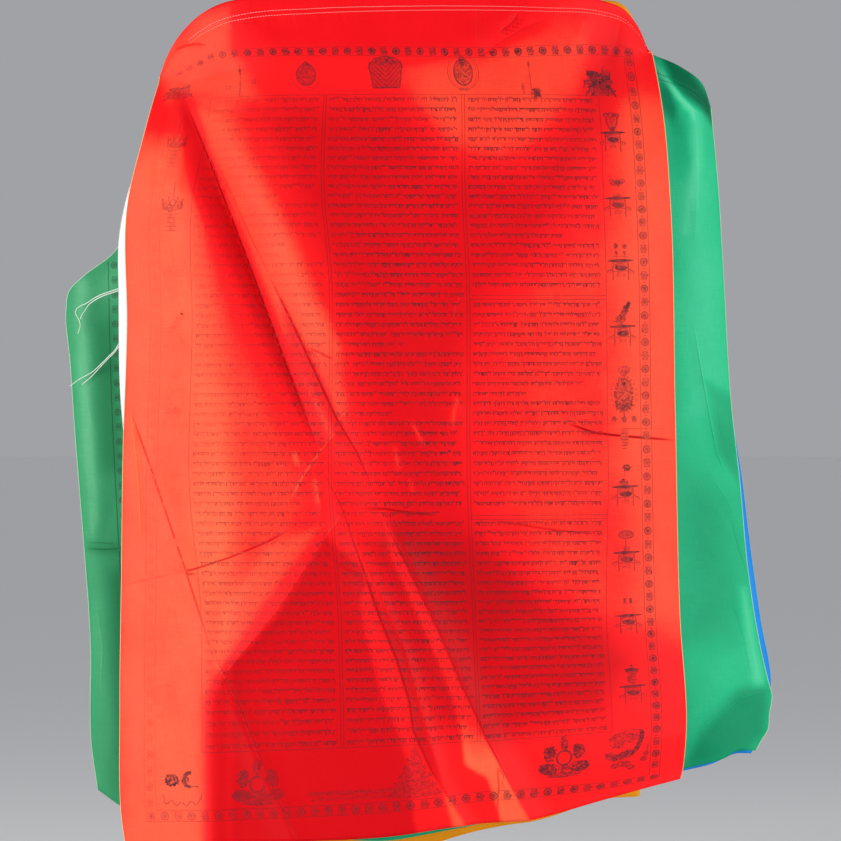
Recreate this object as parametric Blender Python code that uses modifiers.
"""A stretch of a large Tibetan prayer flag string, folded to and fro: six flags hang behind each other.

The origin is at the middle of the top edge, with X to the right, Y away from the viewer and Z up. The
tables give places on the front view in millimetres: across, to the right of the middle, and down from the
top edge. A flag is a smooth sheet between its four edges. The folds lift it towards the viewer, and its
upper corners are gathered, where it is sewn to the next flag of the string.
"""
import math
from collections import namedtuple

import bpy
from mathutils import Vector

MM = 0.001

# Cloth, in millimetres
CLOTH = 1.2  # thickness of a flag
HEADING = 2.4  # thickness of the heading hem along the top edge
# Rows and columns that are added to a flag's even grid, shares of its height and width: the rows of the
# heading, and columns close beside the places where the flag is gathered
HEADING_ROWS = (0, 0.010, 0.024)
BELOW_HEADING = 0.045
CLOSE_COLUMNS = (0, 0.012, 0.030)
TOO_CLOSE = 0.4  # share of an even step that an even row or column keeps from an added one
BOW_FADE = 20  # how fast the bow of the top and bottom edges dies out across the flag

# The bundle as a whole, in millimetres
BULGE = 60  # how far the middle of the front flag stands out before its sides
BULGE_MIDDLE = -18  # across
BULGE_HALF_WIDTH = 336
BULGE_POWER = 2.6  # how much of the bend lies near the sides
BULGE_AT_TOP = 0.6  # share of the bulge that is left at the top edge
BULGE_FULL_DOWN = 300
# The places where the flags are gathered and sewn together, across and down
GATHER_LEFT = (-316, 96)
GATHER_RIGHT = (278, 67)
GATHER_REACH = 150  # how far a gather draws the cloth together

# Loose sewing threads
THREAD_DIAMETER = 0.9
THREAD_POINT_SPACING = 4.2

# depth: behind the front flag, where it hangs free. follow: share of the front flag's folds that it takes
# on. left_depth, right_depth: where it is gathered. On the left red is sewn to white and blue to yellow, and
# on the right red to green, white to blue and yellow to the other green: these pairs are a heading's
# thickness and a little more apart, and the rest further. gathered: shares of its top edge at those places.
Flag = namedtuple("Flag", "name depth follow left_depth right_depth gathered columns rows colour")
FLAGS = (
    Flag("flag_red", 0, 1.00, 24, 24, (0, 1), 27, 40, (0.80, 0.015, 0.012)),
    Flag("flag_green_right", 14, 0.85, 25.5, 27.1, (0.843,), 18, 22, (0.030, 0.38, 0.17)),
    Flag("flag_white", 26, 0.70, 27.1, 32.5, (0, 1), 12, 16, (0.88, 0.86, 0.92)),
    Flag("flag_blue", 38, 0.60, 32.4, 35.3, (0, 0.851), 12, 16, (0.015, 0.16, 0.58)),
    Flag("flag_yellow", 50, 0.50, 35.1, 40.6, (0, 1), 12, 16, (0.95, 0.42, 0.02)),
    Flag("flag_green_left", 62, 0.45, 40.5, 43.3, (1,), 16, 20, (0.060, 0.46, 0.20)),
)

# The edges of each flag, a row for each point: share along the edge, across, down.
# top and bottom run from left to right, left and right run down.
Edges = namedtuple("Edges", "top bottom left right")
EDGES = {
    "flag_red": Edges(
        top=((0, -316, 96), (0.045, -306, 72), (0.09, -290, 48), (0.13, -270, 29), (0.18, -240, 13),
             (0.22, -212, 7), (0.33, -138, 2), (0.5, -36, 0), (0.66, 58, 1), (0.8, 150, 4), (0.9, 222, 9),
             (0.94, 248, 19), (0.97, 265, 39), (1, 278, 67)),
        bottom=((0, -356, 1028), (0.3, -150, 1017), (0.49, -24, 1009), (0.6, 52, 997), (0.74, 145, 989),
                (0.84, 210, 973), (0.925, 268, 959), (1, 316, 949)),
        left=((0, -316, 96), (0.069, -318, 108), (0.126, -325, 134), (0.17, -335, 174), (0.25, -353, 250),
              (0.4, -354, 402), (0.55, -359, 553), (0.7, -361, 706), (0.85, -363, 860), (0.963, -361, 993),
              (1, -356, 1028)),
        right=((0, 278, 67), (0.069, 283, 74), (0.126, 292, 130), (0.25, 302, 250), (0.5, 308, 500),
               (0.75, 314, 751), (0.9, 322, 884), (0.963, 319, 936), (1, 316, 949)),
    ),
    "flag_green_right": Edges(
        top=((0, -264, 55), (0.085, -216, 24), (0.248, -108, 12), (0.41, 0, 11), (0.625, 144, 19),
             (0.77, 240, 38), (0.843, 278, 67), (0.906, 316, 85), (0.957, 343, 106), (1, 353, 134)),
        bottom=((0, -306, 1001), (0.3, -120, 1013), (0.46, -24, 1016), (0.502, 8, 1010), (0.561, 53, 1001),
                (0.682, 145, 986), (0.771, 213, 967), (0.84, 266, 953), (0.9, 321, 938), (0.95, 371, 925),
                (0.975, 386, 917), (1, 410, 917)),
        left=((0, -264, 55), (0.12, -298, 166), (0.3, -322, 346), (0.6, -326, 646), (1, -306, 1001)),
        right=((0, 353, 134), (0.13, 363, 235), (0.25, 369, 329), (0.455, 379, 492), (0.58, 390, 589),
               (0.71, 400, 694), (0.815, 413, 776), (0.888, 426, 835), (0.905, 430, 849), (0.932, 427, 871),
               (0.96, 425, 892), (0.978, 418, 903), (1, 410, 917)),
    ),
    "flag_white": Edges(
        top=((0, -316, 96), (0.05, -302, 72), (0.1, -286, 51), (0.2, -234, 19), (0.5, -24, 7),
             (0.8, 168, 19), (0.93, 240, 38), (1, 278, 67)),
        bottom=((0, -336, 988), (0.4, -84, 996), (0.7, 132, 970), (1, 298, 924)),
        left=((0, -316, 96), (0.08, -330, 170), (0.165, -357, 246), (0.21, -365, 286), (0.3, -366, 368),
              (0.42, -364, 484), (0.5, -358, 550), (0.7, -344, 754), (1, -336, 988)),
        right=((0, 278, 67), (0.1, 284, 154), (0.5, 290, 514), (1, 298, 924)),
    ),
    "flag_blue": Edges(
        top=((0, -316, 96), (0.067, -286, 56), (0.153, -230, 24), (0.43, -24, 10), (0.688, 168, 19),
             (0.789, 240, 41), (0.851, 278, 67), (0.937, 330, 104), (1, 349, 148)),
        bottom=((0, -324, 970), (0.4, -48, 984), (0.7, 168, 970), (0.86, 322, 942), (0.91, 356, 934),
                (0.955, 384, 922), (1, 405, 922)),
        left=((0, -316, 96), (0.1, -324, 190), (0.5, -334, 550), (1, -324, 970)),
        right=((0, 349, 148), (0.22, 361, 320), (0.43, 378, 490), (0.545, 393, 579), (0.655, 404, 667),
               (0.765, 417, 757), (0.88, 430, 844), (0.935, 423, 887), (1, 405, 922)),
    ),
    "flag_yellow": Edges(
        top=((0, -316, 96), (0.1, -283, 54), (0.2, -226, 24), (0.5, -24, 6), (0.8, 154, 3), (0.88, 219, 2),
             (0.92, 241, 4), (0.95, 254, 14), (1, 278, 67)),
        bottom=((0, -306, 1006), (0.3, -132, 1030), (0.5, 0, 1034), (0.58, 53, 1018), (0.66, 102, 1008),
                (0.74, 148, 1001), (0.86, 216, 980), (1, 268, 976)),
        left=((0, -316, 96), (0.1, -319, 190), (0.5, -324, 550), (1, -306, 1006)),
        right=((0, 278, 67), (0.1, 283, 154), (0.5, 276, 514), (1, 268, 973)),
    ),
    "flag_green_left": Edges(
        top=((0, -324, 125), (0.1, -288, 72), (0.2, -233, 31), (0.5, -24, 17), (0.8, 168, 26),
             (0.92, 238, 46), (1, 278, 67)),
        bottom=((0, -395, 967), (0.05, -364, 988), (0.3, -180, 1004), (0.6, 36, 994), (1, 276, 934)),
        left=((0, -324, 125), (0.12, -352, 224), (0.21, -373, 306), (0.26, -412, 336), (0.3, -432, 357),
              (0.33, -435, 379), (0.41, -430, 440), (0.52, -424, 526), (0.65, -416, 625), (0.72, -411, 686),
              (0.85, -404, 797), (0.95, -403, 913), (1, -395, 967)),
        right=((0, 278, 67), (0.1, 281, 166), (0.5, 286, 526), (1, 276, 934)),
    ),
}

# The main folds. left and right: reach of the fold to either side of its line on the front view. sharp: a
# crease at the line, not a soft crest. line: a row for each point, across, down, rise towards the viewer.
Fold = namedtuple("Fold", "name left right sharp line")
FOLDS = (
    Fold("pinch_valley", 46, 34, True, (
        (-288, 120, -2), (-266, 164, -11), (-224, 274, -18), (-182, 389, -16), (-137, 514, -9),
        (-118, 557, 0))),
    Fold("pinch_ridge", 60, 160, False, (
        (-269, 110, 0), (-216, 178, 12), (-156, 286, 20), (-108, 394, 20), (-66, 514, 14), (-36, 634, 6),
        (-18, 730, 0))),
    Fold("long_ridge_left", 54, 32, True, (
        (-118, 557, 0), (-95, 623, 7), (-70, 674, 11), (-20, 787, 12), (25, 948, 11), (54, 1003, 11))),
    Fold("long_ridge_right", 60, 40, True, (
        (-58, 590, 0), (-20, 668, 10), (32, 787, 14), (96, 932, 16), (132, 996, 16))),
    Fold("knee_ridge", 84, 60, True, (
        (-108, 646, 0), (-133, 688, 10), (-169, 739, 17), (-202, 781, 18), (-230, 814, 14), (-248, 844, 11),
        (-251, 934, 11), (-248, 1025, 11))),
    Fold("left_crease", 34, 34, True, (
        (-347, 514, 0), (-324, 571, 3), (-282, 691, 4), (-240, 816, 4), (-194, 929, 7), (-146, 1025, 7))),
    Fold("bottom_curl", 60, 60, False, (
        (12, 1015, 0), (145, 996, -8), (268, 965, -16), (319, 948, -20))),
)
OWN_FOLDS = {
    "flag_green_right": (
        Fold("corner_ridge", 34, 40, False, (
            (278, 67, 0), (302, 95, 6), (314, 116, 9), (336, 148, 9), (335, 226, 6), (335, 298, 3),
            (343, 490, 0))),
        Fold("corner_turn", 110, 60, False, (
            (324, 895, 1), (370, 868, 6), (392, 851, 8), (427, 842, 8))),
    ),
    "flag_green_left": (
        Fold("edge_wave", 30, 40, False, (
            (-414, 370, 4), (-406, 460, 7), (-398, 600, 5), (-388, 760, 7), (-380, 960, 5))),
    ),
}

# The routes of the loose threads, a row for each point: across, down, depth. Each starts at the white
# flag's left edge and lies before the hindmost green flag.
THREADS = {
    "thread_upper_long": (
        (-367, 354, 30.2), (-378, 357, 40), (-391, 361, 50), (-401, 366, 58), (-409, 371, 61),
        (-416, 374, 62), (-421, 378, 62), (-422, 383, 62), (-418, 390, 62), (-416, 397, 62), (-419, 408, 62)),
    "thread_upper_short": (
        (-367, 356.4, 30.2), (-378, 359.4, 40), (-390.6, 363.4, 50), (-400, 368.4, 58), (-406.5, 373.4, 61),
        (-410, 379, 62), (-414, 385, 62), (-416, 390, 62)),
    "thread_lower_long": (
        (-366.4, 421, 29.7), (-371, 428, 36), (-380, 436, 46), (-392, 447, 56), (-403, 456, 61),
        (-416, 463, 62), (-429, 472, 63)),
    "thread_lower_short": (
        (-366.4, 424.2, 29.7), (-371.6, 430.8, 36), (-381, 439, 46), (-392, 449.8, 56), (-402, 460, 61),
        (-414, 470, 62)),
}
THREAD_COLOUR = (0.86, 0.85, 0.80)

ROUGHNESS = 0.55


def clear_scene():
    """Removes what a new file holds."""
    for thing in list(bpy.data.objects):
        bpy.data.objects.remove(thing, do_unlink=True)


def smooth_step(share):
    """Eases from 0 to 1, level at both ends."""
    share = min(max(share, 0.0), 1.0)
    return share * share * (3 - 2 * share)


def slope_at(rows, i, column):
    """Slope of a smooth curve at row i of an edge table, from the rows beside it."""
    before = rows[max(i - 1, 0)]
    here = rows[i]
    after = rows[min(i + 1, len(rows) - 1)]
    if before is here:
        return (after[column] - here[column]) / (after[0] - here[0])
    if after is here:
        return (here[column] - before[column]) / (here[0] - before[0])
    step_in = here[0] - before[0]
    step_out = after[0] - here[0]
    slope_in = (here[column] - before[column]) / step_in
    slope_out = (after[column] - here[column]) / step_out
    return (slope_in * step_out + slope_out * step_in) / (step_in + step_out)


def along(rows, share):
    """Front-view place at a share of an edge, on a smooth curve through the rows of its table."""
    i = 0
    while i < len(rows) - 2 and share > rows[i + 1][0]:
        i += 1
    step = rows[i + 1][0] - rows[i][0]
    t = (share - rows[i][0]) / step
    place = []
    for column in (1, 2):
        start_slope = slope_at(rows, i, column) * step
        end_slope = slope_at(rows, i + 1, column) * step
        place.append(
            (1 + 2 * t) * (1 - t) ** 2 * rows[i][column]
            + t * (1 - t) ** 2 * start_slope
            + t * t * (3 - 2 * t) * rows[i + 1][column]
            + t * t * (t - 1) * end_slope
        )
    return Vector(place)


def front_view_place(edges, across, down):
    """Place of a point of a flag on the front view, from its shares of the flag's width and height."""
    straight = along(edges.left, down).lerp(along(edges.right, down), across)
    top_line = along(edges.top, 0).lerp(along(edges.top, 1), across)
    bottom_line = along(edges.bottom, 0).lerp(along(edges.bottom, 1), across)
    top_bow = along(edges.top, across) - top_line
    bottom_bow = along(edges.bottom, across) - bottom_line
    return straight + top_bow * (1 - down) ** BOW_FADE + bottom_bow * down ** BOW_FADE


def fold_rise(fold, place):
    """How far a fold lifts a point of the front view towards the viewer."""
    nearest = math.inf
    rise = 0.0
    reach = fold.left
    for start, end in zip(fold.line, fold.line[1:]):
        run = Vector(end[:2]) - Vector(start[:2])
        offset = place - Vector(start[:2])
        share = min(max(offset.dot(run) / run.length_squared, 0.0), 1.0)
        distance = (offset - run * share).length
        if distance < nearest:
            nearest = distance
            rise = start[2] + (end[2] - start[2]) * share
            on_left = run.x * offset.y - run.y * offset.x > 0
            reach = fold.left if on_left else fold.right
    left_over = max(1 - nearest / reach, 0.0)
    return rise * (left_over ** 2 if fold.sharp else smooth_step(left_over))


def bulge_rise(place):
    """How far the whole bundle stands out towards the viewer at a point of the front view."""
    side = abs(place.x - BULGE_MIDDLE) / BULGE_HALF_WIDTH
    fall = min(side, 1) ** BULGE_POWER + max(side - 1, 0) * BULGE_POWER
    down = smooth_step(place.y / BULGE_FULL_DOWN)
    return BULGE * (1 - fall) * (BULGE_AT_TOP + (1 - BULGE_AT_TOP) * down)


def depth_at(flag, place):
    """Depth of a flag behind the front view at one of its points."""
    rise = bulge_rise(place) + sum(fold_rise(fold, place) for fold in FOLDS)
    own_rise = sum(fold_rise(fold, place) for fold in OWN_FOLDS.get(flag.name, ()))
    depth = flag.depth - flag.follow * rise - own_rise
    for centre, gathered_depth in ((GATHER_LEFT, flag.left_depth), (GATHER_RIGHT, flag.right_depth)):
        away = (place - Vector(centre)).length / GATHER_REACH
        pull = max(1 - away, 0.0) ** 2
        depth += (gathered_depth - depth) * pull
    return depth


def cloth_material(name, colour):
    """A plain woven cloth of one colour."""
    material = bpy.data.materials.new(name)
    material.use_nodes = True
    shader = material.node_tree.nodes["Principled BSDF"]
    shader.inputs["Base Color"].default_value = (*colour, 1)
    shader.inputs["Roughness"].default_value = ROUGHNESS
    shader.inputs["Metallic"].default_value = 0
    material.diffuse_color = (*colour, 1)
    return material


def grid_shares(count, added):
    """Even shares from 0 to 1, but for those too close to the added ones, which take their place."""
    even = [i / count for i in range(count + 1)]
    kept = [share for share in even if all(abs(share - other) > TOO_CLOSE / count for other in added)]
    return sorted(set(kept + list(added)) | {0, 1})


def columns_of(flag):
    """Shares across a flag for its columns, closer beside the places where it is gathered."""
    added = {centre + side * step for centre in flag.gathered for side in (-1, 1) for step in CLOSE_COLUMNS}
    return grid_shares(flag.columns, [share for share in added if 0 <= share <= 1])


def make_flag(flag, collection, parent):
    """One flag: an open sheet on its folds, given its thickness by a Solidify modifier."""
    edges = EDGES[flag.name]
    shares_down = grid_shares(flag.rows, (*HEADING_ROWS, BELOW_HEADING))
    shares_across = columns_of(flag)
    columns = len(shares_across) - 1
    rows = len(shares_down) - 1
    bpy.ops.mesh.primitive_grid_add(x_subdivisions=columns, y_subdivisions=rows, size=1)
    thing = bpy.context.object
    thing.name = flag.name
    thing.data.name = flag.name
    heading = thing.vertex_groups.new(name="heading")
    for vertex in thing.data.vertices:
        row = round((0.5 - vertex.co.y) * rows)
        column = round((0.5 + vertex.co.x) * columns)
        place = front_view_place(edges, shares_across[column], shares_down[row])
        vertex.co = Vector((place.x, depth_at(flag, place), -place.y)) * MM
        if row < len(HEADING_ROWS):
            heading.add([vertex.index], 1.0, "REPLACE")
    thickness = thing.modifiers.new("thickness", "SOLIDIFY")
    thickness.thickness = HEADING * MM
    thickness.offset = 0
    thickness.vertex_group = heading.name
    thickness.thickness_vertex_group = CLOTH / HEADING
    thing.data.shade_smooth()
    thing.data.materials.append(cloth_material(flag.name, flag.colour))
    place_in(thing, collection, parent)


def smooth_route(points):
    """Evenly spaced points of a smooth curve through a thread's own points."""
    lengths = [0.0]
    for start, end in zip(points, points[1:]):
        lengths.append(lengths[-1] + (Vector(end) - Vector(start)).length)
    flat_rows = [(length, point[0], point[1]) for length, point in zip(lengths, points)]
    depth_rows = [(length, point[2], 0.0) for length, point in zip(lengths, points)]
    count = math.ceil(lengths[-1] / THREAD_POINT_SPACING)
    route = []
    for i in range(count + 1):
        length = lengths[-1] * i / count
        place = along(flat_rows, length)
        depth = along(depth_rows, length).x
        route.append(Vector((place.x, depth, -place.y)) * MM)
    return route


def make_thread(name, points, material, collection, parent):
    """One loose thread end, a thin round tube."""
    curve = bpy.data.curves.new(name, "CURVE")
    curve.dimensions = "3D"
    curve.bevel_depth = THREAD_DIAMETER / 2 * MM
    curve.bevel_resolution = 2
    curve.use_fill_caps = True
    route = smooth_route(points)
    spline = curve.splines.new("POLY")
    spline.points.add(len(route) - 1)
    for point, place in zip(spline.points, route):
        point.co = (*place, 1)
    thing = bpy.data.objects.new(name, curve)
    curve.materials.append(material)
    place_in(thing, collection, parent)


def place_in(thing, collection, parent):
    """Keeps an object in the part's own collection, under its empty."""
    for old in list(thing.users_collection):
        old.objects.unlink(thing)
    collection.objects.link(thing)
    thing.parent = parent


def main():
    clear_scene()
    collection = bpy.data.collections.new("prayer_flag_string")
    bpy.context.scene.collection.children.link(collection)
    top_edge = bpy.data.objects.new("top_edge", None)
    collection.objects.link(top_edge)
    for flag in FLAGS:
        make_flag(flag, collection, top_edge)
    thread = cloth_material("thread", THREAD_COLOUR)
    for name, points in THREADS.items():
        make_thread(name, points, thread, collection, top_edge)


main()
